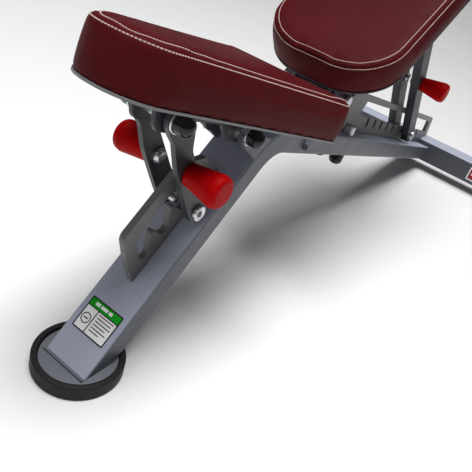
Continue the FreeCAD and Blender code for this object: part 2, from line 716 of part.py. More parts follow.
def beam_studs():
    """Two upright studs through the beam, with tall nuts above and domed caps below."""
    frame = beam_frame()
    top = shifted(frame, x=value("stud_along"), z=value("stud_x"))
    outward = top.Rotation.multVec(FreeCAD.Vector(0, 1, 0))
    up = FreeCAD.Rotation(FreeCAD.Vector(1, 0, 0), outward)
    down = FreeCAD.Rotation(FreeCAD.Vector(1, 0, 0), outward * -1)
    nut_radius, tall = cell("stud_nut_radius"), cell("stud_nut_height")
    nut = turned("stud_nut", FreeCAD.Placement(top.Base, up), rod(0, tall, nut_radius),
                 [(4, tall, nut_radius)])
    both_sides(nut, "beam_stud_nuts")
    under = top.Base - outward * value("tube_depth")
    cap_radius, depth = cell("stud_cap_radius"), cell("stud_cap_height")
    cap = turned("stud_cap", FreeCAD.Placement(under, down), rod(0, depth, cap_radius),
                 [(7, depth, cap_radius)])
    both_sides(cap, "beam_stud_caps")


def labels():
    """Two thin stickers: one across the leg's top face, one on the cross tube's front face."""
    wide, long, thick = cell("label_width"), cell("label_length"), cell("label_thick")
    leg = leg_frame()
    body = doc.addObject("PartDesign::Body", "leg_sticker")
    pad(body, rounded_section(new_sketch(body), 0, -wide / 2, long, wide, 2), thick)
    along = leg.Rotation.multVec(FreeCAD.Vector(1, 0, 0))
    normal = leg.Rotation.multVec(FreeCAD.Vector(0, 1, 0))
    turn = FreeCAD.Rotation(along, FreeCAD.Vector(-1, 0, 0), normal, "ZXY")
    body.Placement = FreeCAD.Placement(leg.Base + along * value("label_along"), turn)
    keep(body, "leg_label")
    wide, tall = cell("rear_label_width"), cell("rear_label_height")
    body = doc.addObject("PartDesign::Body", "cross_sticker")
    pad(body, rounded_section(new_sketch(body), -wide / 2, -tall / 2, wide, tall, 2), thick)
    face = value("cross_y") - value("cross_size") / 2
    middle = value("cross_bottom") + value("cross_size") / 2
    turn = FreeCAD.Rotation(FreeCAD.Vector(1, 0, 0), 90)
    body.Placement = FreeCAD.Placement(FreeCAD.Vector(value("rear_label_x"), face, middle), turn)
    keep(body, "cross_label")


# ---------------------------------------------------------------- seat

def seat_outline(margin):
    """The seat tapers towards its nose."""
    margin = size(margin)
    front, rear = -cell("seat_front") + margin, cell("seat_rear") - margin
    nose, tail = cell("seat_nose_width") / 2 - margin, cell("seat_tail_width") / 2 - margin
    return [(-nose, front), (nose, front), (tail, rear), (-tail, rear)]


def cushion(name, frame, outline, thick, rounds, edge_round, label):
    """A flat-bottomed pad with its top edge rounded over."""
    body = plate(name, frame, outline, thick, rounds)
    top = size(thick).number

    def on_top(edge):
        return all(abs(vertex.Point.z - top) < 1e-6 for vertex in edge.Vertexes)
    round_edges(body, edge_round, on_top)
    body.Placement = frame
    keep(body, label)


def seat_pads():
    frame = seat_frame()
    nose, tail = cell("seat_nose_round"), cell("seat_tail_round")
    outline = seat_outline(0)
    board = plate("seat_base", shifted(frame, z=value("seat_drop")), outline,
                  cell("board_thick"), [(nose, outline[:2]), (tail, outline[2:])])
    keep(board, "seat_board")
    inset = seat_outline(cell("foam_inset"))
    cushion("seat_foam_body", shifted(frame, z=value("seat_drop") + value("board_thick")), inset,
            cell("seat_foam"), [(nose, inset[:2]), (tail, inset[2:])], 8, "seat_cushion")


def seat_plates():
    """Two plates under the seat join its hinge to its arm pivot."""
    frame, reach = link_frame("seat_pivot", "seat_hinge", value("seat_plate_x"))
    bore = cell("axle_radius") + cell("fit_gap")
    # the board lies at a small angle to the line between the pivots
    board = shifted(seat_frame(), z=value("seat_drop"))
    front, rear = (frame.inverse().multVec(board.multVec(FreeCAD.Vector(0, along, 0)))
                   for along in (-34, reach + 34))
    outline = [(-19, -19), (19, -19), (46, 0), (reach - 44, 2), (reach - 20, -19),
               (reach + 20, -19), (rear.x, rear.y), (front.x, front.y)]
    body = plate("seat_plate", frame, outline, cell("seat_plate_thick"),
                 [(15, outline[:2]), (15, outline[4:6]), (8, outline[2:4])],
                 holes=[(0, 0, bore), (reach, 0, bore)])
    left_and_right(body, "seat_plate")
    outer = cell("seat_arm_x") + cell("seat_arm_thick") + cell("fit_gap") * 8
    axle("seat_pivot_axle", "seat_pivot", outer + cell("ring_thick"))
    ring_pair("seat_pivot_ring", "seat_pivot", outer.number, cell("ring_thick"),
              cell("ring_radius"), bore)
    black_cap("seat_pivot_cap", "seat_pivot", outer.number + value("ring_thick"))


def screw_heads(label, frame, spots, level):
    """Button-head screws that hold a board down on its plates, seen from below."""
    heads = []
    for x, along in spots:
        spot = shifted(frame, x=x, y=along, z=level)
        down = spot.Rotation.multVec(FreeCAD.Vector(0, 0, -1))
        place = FreeCAD.Placement(spot.Base, FreeCAD.Rotation(FreeCAD.Vector(1, 0, 0), down))
        tall, radius = cell("screw_height"), cell("screw_radius")
        heads.append(turned("screw", place, rod(0, tall, radius), [(2, tall, radius)]))
    group = doc.addObject("Part::Compound", label + "_group")
    group.Links = heads
    keep(group, label)


def board_screws():
    seat = seat_frame()
    spots = [(side * 48, along) for side in (-1, 1) for along in (10, 100, 190)]
    screw_heads("seat_screws", seat, spots, value("seat_drop"))
    back = pad_frame(value("back_hinge_y"), value("back_hinge_z"), value("back_slope"))
    spots = [(side * 62, along) for side in (-1, 1) for along in (60, 280, 500)]
    screw_heads("back_screws", back, spots, value("back_drop"))


# ---------------------------------------------------------------- back

def back_outline(margin):
    margin = size(margin)
    half = cell("back_width") / 2 - margin
    low, high = -cell("back_start") + margin, cell("back_end") - margin
    return [(-half, low), (half, low), (half, high), (-half, high)]


def back_pads():
    frame = pad_frame(value("back_hinge_y"), value("back_hinge_z"), value("back_slope"))
    low, top = cell("back_low_round"), cell("back_top_round")
    outline = back_outline(0)
    board = plate("back_base", shifted(frame, z=value("back_drop")), outline,
                  cell("board_thick"), [(low, outline[:2]), (top, outline[2:])])
    keep(board, "back_board")
    inset = back_outline(cell("foam_inset"))
    cushion("back_foam_body", shifted(frame, z=value("back_drop") + value("board_thick")), inset,
            cell("back_foam"), [(low, inset[:2]), (top, inset[2:])], 8, "back_cushion")


def back_plates():
    """Two deep plates under the back join its hinge to its arm pivot."""
    frame = side_frame(value("back_hinge_y"), value("back_hinge_z"), value("back_slope"),
                       value("back_plate_x"))
    x, y = in_frame(frame, "back_pivot")
    drop = cell("back_drop")
    bore = cell("axle_radius") + cell("fit_gap")
    reach = cell("back_plate_reach")
    outline = [(-22, -22), (22, -22), (x - 120, -6), (x - 22, y - 20), (x + 22, y - 20),
               (reach, drop - 22), (reach, drop), (-18, drop)]
    body = plate("back_plate", frame, outline, cell("back_plate_thick"),
                 [(18, outline[:2]), (18, outline[3:5]), (8, [outline[5], outline[7]])],
                 holes=[(0, 0, bore), (x, y, bore)])
    left_and_right(body, "back_plate")
    outer = cell("back_plate_x") + cell("back_plate_thick")
    axle("back_pivot_axle", "back_pivot", outer + cell("ring_thick"))
    ring_pair("back_pivot_ring", "back_pivot", outer.number, cell("ring_thick"),
              cell("ring_radius"), bore)
    black_cap("back_pivot_cap", "back_pivot", outer.number + value("ring_thick"))
    half = cell("back_plate_x") - 0.3
    sleeve = [(-half, bore), (half, bore), (half, 13), (-half, 13)]
    keep(turned("hinge_sleeve", at_pivot("back_hinge"), sleeve), "back_hinge_sleeve")


# ---------------------------------------------------------------- arms

def pin_pair(label, pivot, arm_x, arm_thick):
    """Stub pins: each runs from beside the ladder out through its arm to a round head."""
    start = cell("ladder_thick") / 2 + cell("open_gap")
    outer = arm_x + arm_thick
    radius, head = cell("pin_radius"), cell("head_radius")
    end = outer + cell("head_height")
    profile = [(start, 0), (end, 0), (end, head), (outer, head), (outer, radius), (start, radius)]
    pin = turned(label + "_pin", at_pivot(pivot), profile, [(1.5, end, head), (1.5, start, radius)])
    both_sides(pin, label)


def grips(prefix, frame, along, across, outer, inner):
    """A tapered handle on each arm, with its bolt and a domed nut on the inner face."""
    place = shifted(frame, x=along, y=across).Base
    length, small, large = cell(prefix + "_grip_length"), cell("grip_small"), cell("grip_large")
    bolt = cell("grip_bolt")
    right = FreeCAD.Placement(FreeCAD.Vector(outer, place.y, place.z), FreeCAD.Rotation())
    profile = [(0, cell("grip_bore")), (length * 0.8, cell("grip_bore")), (length * 0.8, 0),
               (length, 0), (length, large * 0.93), (length * 0.8, large), (0, small)]
    grip = turned(prefix + "_handle", right, profile,
                  [(cell("grip_round"), length, large * 0.93), (2.5, 0, small)])
    left_and_right(grip, prefix + "_grip")
    nut, tall = cell("grip_nut"), cell("grip_nut_height")
    start = size(inner - outer)
    profile = [(start - tall, 0), (length * 0.78, 0), (length * 0.78, bolt), (start, bolt),
               (start, nut), (start - tall, nut)]
    screw = turned(prefix + "_bolt", right, profile, [(6, start - tall, nut)])
    both_sides(screw, prefix + "_grip_bolts")


def seat_arms():
    """Shaped plates that prop the seat: their pins rest in the front ladder."""
    frame, reach = link_frame("seat_pin", "seat_pivot", value("seat_arm_x"))
    end, thick = cell("arm_end_round"), cell("seat_arm_thick")
    running = cell("axle_radius") + cell("fit_gap")
    top = cell("arm_top_round")
    outline = [(-end, -end), (-end, end), (44, 17), (108, 17), (reach - 30, 11),
               (reach - 14, 14), (size(reach) + top, top), (size(reach) + top, -8),
               (reach - 8, -25), (reach - 30, -27), (reach - 62, -14), (30, -17)]
    bolt_hole = cell("grip_bolt") + cell("fit_gap")
    grip_along, grip_across = 83.0, -1.0
    body = plate("seat_arm", frame, outline, thick,
                 [(end * 0.98, outline[:2]), (top * 0.9, [outline[6]]), (8, [outline[7]]),
                  (12, outline[8:10]), (24, [outline[3], outline[4], outline[10]])],
                 holes=[(0, 0, cell("pin_radius") + cell("fit_gap")), (reach, 0, running),
                        (grip_along, grip_across, bolt_hole)])
    left_and_right(body, "seat_arm")
    pin_pair("seat_pins", "seat_pin", cell("seat_arm_x"), thick)
    outer = value("seat_arm_x") + value("seat_arm_thick")
    grips("seat", frame, grip_along, grip_across, outer, value("seat_arm_x"))


def back_arms():
    """Rectangular bars that prop the back: their pins rest in the rear ladder."""
    frame, reach = link_frame("back_pin", "back_pivot", value("back_arm_x"))
    half, thick = cell("back_arm_half"), cell("back_arm_thick")
    running = cell("axle_radius") + cell("fit_gap")
    outline = [(-half, -half), (-half, half), (size(reach) + half, half),
               (size(reach) + half, -half)]
    bolt_hole = cell("grip_bolt") + cell("fit_gap")
    grip_along, grip_across = 201.0, -4.0
    body = plate("back_arm", frame, outline, thick, [(half * 0.98, outline)],
                 holes=[(0, 0, cell("pin_radius") + cell("fit_gap")), (reach, 0, running),
                        (grip_along, grip_across, bolt_hole)])
    left_and_right(body, "back_arm")
    pin_pair("back_pins", "back_pin", cell("back_arm_x"), thick)
    outer = value("back_arm_x") + value("back_arm_thick")
    grips("back", frame, grip_along, grip_across, outer, value("back_arm_x"))


# ---------------------------------------------------------------- assembly

def check_objects():
    """Stop before anything is written if a feature failed."""
    doc.recompute()
    for item in doc.Objects:
        if "Invalid" in item.State or "Error" in item.State:
            raise RuntimeError(f"{item.Label}: {item.State}")
    for node in NODES:
        if node.Shape.isNull() or not node.Shape.isValid() or not node.Shape.Solids:
            raise RuntimeError(f"{node.Label}: no valid solid")


def write_nodes():
    os.makedirs("parts", exist_ok=True)
    for node in NODES:
        node.Shape.exportStep(f"parts/{node.Label}.step")


main_tube()
front_foot()
weld_strip()
cross_tube()
front_ladder()
rear_ladder()
hinge_brackets()
frame_axles()
beam_studs()
labels()
seat_pads()
seat_plates()
back_pads()
back_plates()
board_screws()
seat_arms()
back_arms()
check_objects()
write_nodes()
print(len(NODES), "nodes")
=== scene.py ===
import json
import math

import bmesh
import bpy
from mathutils import Matrix, Vector
from mathutils.bvhtree import BVHTree


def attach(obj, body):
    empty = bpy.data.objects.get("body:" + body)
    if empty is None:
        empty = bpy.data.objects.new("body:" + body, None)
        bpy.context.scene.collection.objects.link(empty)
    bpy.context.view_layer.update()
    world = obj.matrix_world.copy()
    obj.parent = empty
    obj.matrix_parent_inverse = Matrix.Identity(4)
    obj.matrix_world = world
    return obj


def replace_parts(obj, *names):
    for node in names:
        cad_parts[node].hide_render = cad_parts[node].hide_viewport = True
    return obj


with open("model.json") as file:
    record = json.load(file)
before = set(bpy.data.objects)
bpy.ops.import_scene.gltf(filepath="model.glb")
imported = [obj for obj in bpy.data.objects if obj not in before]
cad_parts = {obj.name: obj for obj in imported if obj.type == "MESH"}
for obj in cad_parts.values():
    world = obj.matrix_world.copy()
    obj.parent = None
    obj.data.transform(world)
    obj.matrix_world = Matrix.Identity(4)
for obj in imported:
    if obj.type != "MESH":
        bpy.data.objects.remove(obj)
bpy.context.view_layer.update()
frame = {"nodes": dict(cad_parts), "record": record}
nodes = frame["nodes"]


# ---------------------------------------------------------------- materials

class Shader:
    """A material with a principled shader, built up from small node helpers."""

    def __init__(self, name, **numbers):
        self.material = bpy.data.materials.new(name)
        self.material.use_nodes = True
        self.tree = self.material.node_tree
        self.tree.nodes.clear()
        self.surface = self.tree.nodes.new("ShaderNodeBsdfPrincipled")
        output = self.tree.nodes.new("ShaderNodeOutputMaterial")
        self.join(self.surface.outputs[0], output.inputs[0])
        for socket, number in numbers.items():
            self.surface.inputs[socket.replace("_", " ")].default_value = number
        self.place = self.node("ShaderNodeTexCoord").outputs["Object"]

    def join(self, start, end):
        self.tree.links.new(start, end)

    def node(self, kind, inputs=None, **settings):
        """A new node, with sockets joined or set and its settings given."""
        made = self.tree.nodes.new(kind)
        for name, setting in settings.items():
            setattr(made, name, setting)
        for socket, given in (inputs or {}).items():
            if isinstance(given, bpy.types.NodeSocket):
                self.join(given, made.inputs[socket])
            else:
                made.inputs[socket].default_value = given
        return made

    def stretched(self, across, along, up):
        """Coordinates stretched along the axes, for brushed marks and long grain."""
        scaled = self.node("ShaderNodeMapping", {"Vector": self.place, "Scale": (across, along, up)})
        return scaled.outputs[0]

    def noise(self, scale, detail=3.0, rough=0.5, place=None):
        vector = self.place if place is None else place
        made = self.node("ShaderNodeTexNoise", {"Vector": vector, "Scale": scale, "Detail": detail,
                                                "Roughness": rough})
        return made.outputs["Fac"]

    def cells(self, scale, place):
        made = self.node("ShaderNodeTexVoronoi", {"Vector": place, "Scale": scale},
                         feature="DISTANCE_TO_EDGE")
        return made.outputs["Distance"]

    def spread(self, amount, low, high, out_low=0.0, out_high=1.0):
        """Stretch a range of a texture to another range, clamped."""
        made = self.node("ShaderNodeMapRange", {"Value": amount, "From Min": low, "From Max": high,
                                                "To Min": out_low, "To Max": out_high})
        return made.outputs[0]

    def maths(self, operation, first, second):
        return self.node("ShaderNodeMath", {0: first, 1: second}, operation=operation).outputs[0]

    def blend(self, amount, first, second):
        made = self.node("ShaderNodeMix", data_type="RGBA", blend_type="MIX")
        for index, given in ((0, amount), (6, first), (7, second)):
            if isinstance(given, bpy.types.NodeSocket):
                self.join(given, made.inputs[index])
            else:
                made.inputs[index].default_value = given
        return made.outputs[2]

    def rounded(self, radius):
        return self.node("ShaderNodeBevel", {"Radius": radius}, samples=6).outputs[0]

    def bump(self, height, distance, strength, normal=None):
        inputs = {"Height": height, "Distance": distance, "Strength": strength}
        if normal is not None:
            inputs["Normal"] = normal
        return self.node("ShaderNodeBump", inputs).outputs[0]

    def edges(self, soft):
        """How near a sharp edge a point is: the softened normal leans away from the true one."""
        true = self.node("ShaderNodeNewGeometry").outputs["True Normal"]
        lean = self.node("ShaderNodeVectorMath", {0: soft, 1: true}, operation="DOT_PRODUCT")
        away = self.maths("SUBTRACT", 1.0, lean.outputs["Value"])
        return self.spread(away, 0.02, 0.16)

    def finish(self, colour, roughness, normal):
        for socket, given in (("Base Color", colour), ("Roughness", roughness), ("Normal", normal)):
            if given is not None:
                self.join(given, self.surface.inputs[socket])
        return self.material


def tint(colour, factor):
    return tuple(channel * factor for channel in colour[:3]) + (1.0,)


def powder_coat(name, colour, gloss, painted_top_light=1.0):
    """Satin powder coat: orange peel, mottling, paler rubbed edges, dust specks and a painted top light
    that makes what faces up paler.
    """
    made = Shader(name, Specular_IOR_Level=0.35, Coat_Weight=0.06, Coat_Roughness=0.25)
    soft = made.rounded(0.0016)
    cloudy = made.noise(7.0, 4.0, 0.55)
    base = made.blend(made.spread(cloudy, 0.35, 0.65), tint(colour, 0.93), tint(colour, 1.07))
    # Painted light: faces that point up are painted paler by the given factor, standing in for the
    # light that falls on them from above.
    normal = made.node("ShaderNodeTexCoord").outputs["Normal"]
    upward = made.node("ShaderNodeSeparateXYZ", {0: normal}).outputs["Z"]
    base = made.blend(made.spread(upward, 0.25, 0.72), base, tint(colour, painted_top_light))
    specks = made.spread(made.noise(950.0, 2.0), 0.70, 0.78, 0.0, 0.22)
    base = made.blend(specks, base, tint(colour, 1.5))
    patches = made.spread(made.noise(60.0), 0.42, 0.62, 0.05, 0.5)
    rubbed = made.maths("MULTIPLY", made.edges(soft), patches)
    base = made.blend(rubbed, base, tint(colour, 1.75))
    rough = made.spread(made.noise(34.0, 5.0, 0.6), 0.3, 0.7, gloss - 0.05, gloss + 0.07)
    skin = made.bump(made.noise(620.0, 2.0, 0.4), 0.00011, 0.55, soft)
    return made.finish(base, rough, skin)


def zinc_plate(name):
    """Bright zinc: fine turning marks, cloudy passivation and worn edges."""
    made = Shader(name, Metallic=1.0, Specular_IOR_Level=0.5)
    soft = made.rounded(0.0008)
    cloudy = made.noise(90.0, 4.0, 0.6)
    base = made.blend(made.spread(cloudy, 0.3, 0.7), (0.52, 0.53, 0.55, 1), (0.70, 0.71, 0.72, 1))
    warm = made.spread(made.noise(45.0), 0.5, 0.75, 0.0, 0.35)
    base = made.blend(warm, base, (0.60, 0.58, 0.50, 1))
    base = made.blend(made.edges(soft), base, (0.82, 0.83, 0.84, 1))
    turned = made.noise(1400.0, 2.0, 0.5, made.stretched(3.0, 0.35, 0.35))
    rough = made.spread(cloudy, 0.3, 0.7, 0.24, 0.38)
    return made.finish(base, rough, made.bump(turned, 0.00006, 0.5, soft))


def moulded(name, colour, gloss, grain, depth, haze=0.06, shine=0.5):
    """Moulded plastic or rubber: fine spark-eroded grain, handling haze and softened edges."""
    made = Shader(name, Specular_IOR_Level=shine)
    soft = made.rounded(0.0012)
    cloudy = made.noise(22.0, 4.0, 0.55)
    base = made.blend(made.spread(cloudy, 0.32, 0.68), tint(colour, 0.88), tint(colour, 1.12))
    dust = made.spread(made.noise(420.0, 3.0, 0.6), 0.62, 0.78, 0.0, 0.10)
    base = made.blend(dust, base, (0.30, 0.29, 0.28, 1))
    rough = made.spread(made.noise(70.0, 5.0, 0.6), 0.3, 0.7, gloss, gloss + haze)
    return made.finish(base, rough, made.bump(made.noise(grain, 2.0), depth, 0.6, soft))


def vinyl(name, colour):
    """Upholstery vinyl: pebbled leather grain, fine pores and a soft change of tone."""
    made = Shader(name, Specular_IOR_Level=0.05)
    drift = made.node("ShaderNodeTexNoise", {"Vector": made.place, "Scale": 160.0, "Detail": 2.0})
    wander = made.node("ShaderNodeMix", data_type="VECTOR")
    wander.inputs[0].default_value = 0.012
    made.join(made.place, wander.inputs[4])
    made.join(drift.outputs["Color"], wander.inputs[5])
    pebbles = made.cells(620.0, wander.outputs[1])
    raised = made.spread(pebbles, 0.0, 0.28)
    pores = made.noise(2600.0, 2.0, 0.6)
    waves = made.noise(26.0, 3.0, 0.5)
    broad = made.noise(5.0, 2.0, 0.5)
    base = made.blend(made.spread(broad, 0.35, 0.65), tint(colour, 0.90), tint(colour, 1.14))
    base = made.blend(made.spread(raised, 0.0, 0.6, 0.30, 0.0), base, tint(colour, 0.55))
    rough = made.maths("ADD", made.spread(raised, 0.0, 1.0, 0.50, 0.42),
                       made.spread(waves, 0.3, 0.7, -0.03, 0.05))
    grain = made.maths("ADD", made.maths("MULTIPLY", raised, 0.75), made.maths("MULTIPLY", pores, 0.25))
    skin = made.bump(grain, 0.00022, 0.55)
    skin = made.bump(waves, 0.0010, 0.22, skin)
    return made.finish(base, rough, skin)


def thread(name, colour):
    """Twisted thread: diagonal plies and fuzz."""
    made = Shader(name, Specular_IOR_Level=0.3, Sheen_Weight=0.4)
    plies = made.node("ShaderNodeTexWave", {"Vector": made.place, "Scale": 900.0, "Distortion": 1.5},
                      bands_direction="DIAGONAL").outputs["Fac"]
    base = made.blend(plies, tint(colour, 0.72), tint(colour, 1.08))
    rough = made.spread(made.noise(900.0), 0.3, 0.7, 0.62, 0.82)
    return made.finish(base, rough, made.bump(plies, 0.00015, 0.8))


def film(name, colour):
    """Printed sticker film: a slight dimple, rubbed ink and faint scratches."""
    made = Shader(name, Specular_IOR_Level=0.15, Coat_Weight=0.05, Coat_Roughness=0.2)
    worn = made.spread(made.noise(260.0, 5.0, 0.65), 0.60, 0.80, 0.0, 0.30)
    base = made.blend(worn, tint(colour, 1.0), tint(colour, 0.72))
    scratch = made.noise(500.0, 3.0, 0.6, made.stretched(1.0, 0.15, 0.15))
    rough = made.spread(scratch, 0.35, 0.7, 0.32, 0.46)
    return made.finish(base, rough, made.bump(made.noise(180.0, 2.0), 0.0001, 0.4))


def floor_finish():
    """A pale, slightly polished studio floor."""
    made = Shader("studio_floor", Specular_IOR_Level=0.25)
    base = made.blend(made.noise(1.3, 2.0), (0.86, 0.86, 0.86, 1), (0.90, 0.90, 0.90, 1))
    rough = made.spread(made.noise(6.0, 3.0), 0.3, 0.7, 0.10, 0.16)
    return made.finish(base, rough, None)


materials = {
    # The last number of each powder coat is painted light: how much paler its up-facing faces are
    # painted.
    "frame_paint": powder_coat("frame_paint_grey_blue", (0.094, 0.101, 0.125), 0.40, 4.4),
    "arm_paint": powder_coat("arm_paint_grey", (0.037, 0.039, 0.046), 0.42, 1.5),
    "ladder_paint": powder_coat("ladder_paint_grey", (0.135, 0.135, 0.132), 0.36, 1.5),
    "plate_paint": powder_coat("foot_plate_paint", (0.170, 0.178, 0.205), 0.44),
    "zinc": zinc_plate("zinc_bright"),
    "black_plastic": moulded("cap_plastic", (0.006, 0.006, 0.007), 0.07, 300.0, 0.00003, 0.05, 0.35),
    "rubber": moulded("foot_rubber", (0.012, 0.012, 0.013), 0.55, 900.0, 0.00015, 0.15, 0.3),
    "red_grip": moulded("grip_red", (0.40, 0.0, 0.001), 0.42, 800.0, 0.00008, 0.10, 0.06),
    "upholstery": vinyl("vinyl_maroon", (0.082, 0.0065, 0.0085)),
    "board": moulded("board_grey", (0.22, 0.22, 0.23), 0.45, 700.0, 0.00012),
    "label": film("label_white", (0.97, 0.97, 0.97)),
}
thread_cream = thread("thread_cream", (0.78, 0.55, 0.50))
ink_green = film("label_green", (0.006, 0.38, 0.015))
ink_dark = film("label_ink", (0.008, 0.008, 0.010))
ink_red = film("label_red", (0.35, 0.02, 0.06))
board_dark = moulded("board_dark", (0.030, 0.010, 0.011), 0.50, 700.0, 0.00012)

for part in frame["record"]["subparts"]:
    shown = nodes[part["node"]]
    finish = board_dark if part["node"] == "back_board" else materials[part["material_slot"]]
    if not shown.material_slots:
        shown.data.materials.append(finish)
    for holder in shown.material_slots:
        holder.material = finish


# ---------------------------------------------------------------- mesh helpers

def pad_space(y, z, slope):
    """Local x is +X, local y runs up the slope and local z is its normal."""
    return Matrix.Translation((0, y, z)) @ Matrix.Rotation(math.radians(slope), 4, "X")


def piece(name, mesh, material, body, place=None):
    """A new object in the row frame that rides on a body."""
    if place is not None:
        mesh.transform(place)
    made = bpy.data.objects.new(name, mesh)
    bpy.context.scene.collection.objects.link(made)
    if not mesh.materials:
        mesh.materials.append(material)
    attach(made, body)
    return made


def as_mesh(name, build, smooth=True):
    mesh = bpy.data.meshes.new(name)
    build.to_mesh(mesh)
    build.free()
    for face in mesh.polygons:
        face.use_smooth = smooth
    return mesh


def rounded_outline(corners, radii, step=0.006):
    """A closed outline with arcs at its corners, sampled evenly enough for a smooth wall."""
    points = []
    count = len(corners)
    for index in range(count):
        here = Vector(corners[index])
        before = (Vector(corners[index - 1]) - here).normalized()
        after = (Vector(corners[(index + 1) % count]) - here).normalized()
        half = before.angle(after) / 2
        radius = radii[index]
        tangent = radius / math.tan(half)
        centre = here + (before + after).normalized() * (radius / math.sin(half))
        start = here + before * tangent - centre
        sweep = math.pi - 2 * half
        turn = 1 if before.x * after.y - before.y * after.x < 0 else -1
        arcs = max(4, int(sweep * radius / step))
        for part in range(arcs + 1):
            angle = turn * sweep * part / arcs
            points.append(centre + Matrix.Rotation(angle, 2) @ start)
    return points


def resampled(points, spacing):
    """The same closed line with points an even distance apart."""
    closed = points + points[:1]
    lengths = [0.0]
    for first, second in zip(closed, closed[1:]):
        lengths.append(lengths[-1] + (second - first).length)
    total = lengths[-1]
    count = int(round(total / spacing))
    made, index = [], 0
    for part in range(count):
        goal = total * part / count
        while lengths[index + 1] < goal:
            index += 1
        span = lengths[index + 1] - lengths[index]
        share = (goal - lengths[index]) / span if span > 0 else 0.0
        made.append(closed[index].lerp(closed[index + 1], share))
    return made


def inward(points):
    """Unit normals that point into a closed line."""
    area = sum(a.x * b.y - a.y * b.x for a, b in zip(points, points[1:] + points[:1]))
    side = 1 if area > 0 else -1
    normals = []
    for before, after in zip(points[-1:] + points[:-1], points[1:] + points[:1]):
        along = (after - before).normalized()
        normals.append(Vector((-along.y, along.x)) * side)
    return normals


def lathe(build, profile, matrix, sides):
    """Turn (along, radius) corners about the local x axis."""
    rings = []
    for along, radius in profile:
        if radius < 1e-7:
            rings.append([build.verts.new(matrix @ Vector((along, 0, 0)))])
            continue
        ring = []
        for side in range(sides):
            angle = 2 * math.pi * side / sides
            spot = Vector((along, radius * math.cos(angle), radius * math.sin(angle)))
            ring.append(build.verts.new(matrix @ spot))
        rings.append(ring)
    for first, second in zip(rings, rings[1:]):
        for side in range(sides):
            after = (side + 1) % sides
            corners = [first[side % len(first)], first[after % len(first)],
                       second[after % len(second)], second[side % len(second)]]
            unique = list(dict.fromkeys(corners))
            if len(unique) > 2:
                build.faces.new(unique)


# ---------------------------------------------------------------- cushions

VOXEL = 0.005
MOST_SWELL = 0.002
GLUED_HEIGHT = 0.004
CLOTH_FRAMES = 20
EDGE_ROUND = 0.0055
SIDE_FULLNESS = 0.0012
SEAM_RADIUS = 0.0008
STITCH_PITCH = 0.0044
STITCH_WIDTH = 0.0018
CAST_FROM = 0.05


def cushion_shell(outline, low, high, crown, middle):
    """A closed pad: flat below, slightly full sides, a rounded top edge and a crowned top."""
    build = bmesh.new()
    normals = inward(outline)
    rings = []

    def ring(inset, level):
        spots = []
        for spot, normal in zip(outline, normals):
            moved = spot + normal * inset
            spots.append(build.verts.new((moved.x, moved.y, level)))
        rings.append(spots)

    ring(0.0, low)
    for share in (0.25, 0.5, 0.75):
        ring(-SIDE_FULLNESS * math.sin(math.pi * share), low + (high - EDGE_ROUND - low) * share)
    for part in range(7):
        angle = math.pi / 2 * part / 6
        ring(EDGE_ROUND * (1 - math.cos(angle)), high - EDGE_ROUND + EDGE_ROUND * math.sin(angle))
    for first, second in zip(rings, rings[1:]):
        for index in range(len(outline)):
            after = (index + 1) % len(outline)
            build.faces.new((first[index], first[after], second[after], second[index]))
    top = rings[-1]
    shrunk = top
    for share in (0.9, 0.75, 0.55, 0.35, 0.15):
        level = high + crown * (1 - share ** 2)
        inner = []
        for vert in top:
            spot = middle + (Vector((vert.co.x, vert.co.y)) - middle) * share
            inner.append(build.verts.new((spot.x, spot.y, level)))
        for index in range(len(top)):
            after = (index + 1) % len(top)
            build.faces.new((shrunk[index], shrunk[after], inner[after], inner[index]))
        shrunk = inner
    hub = build.verts.new((middle.x, middle.y, high + crown))
    for index in range(len(shrunk)):
        build.faces.new((shrunk[index], shrunk[(index + 1) % len(shrunk)], hub))
    under = build.verts.new((middle.x, middle.y, low))
    for index in range(len(rings[0])):
        build.faces.new((rings[0][(index + 1) % len(outline)], rings[0][index], under))
    bmesh.ops.recalc_face_normals(build, faces=build.faces)
    return as_mesh("cushion_shell", build)


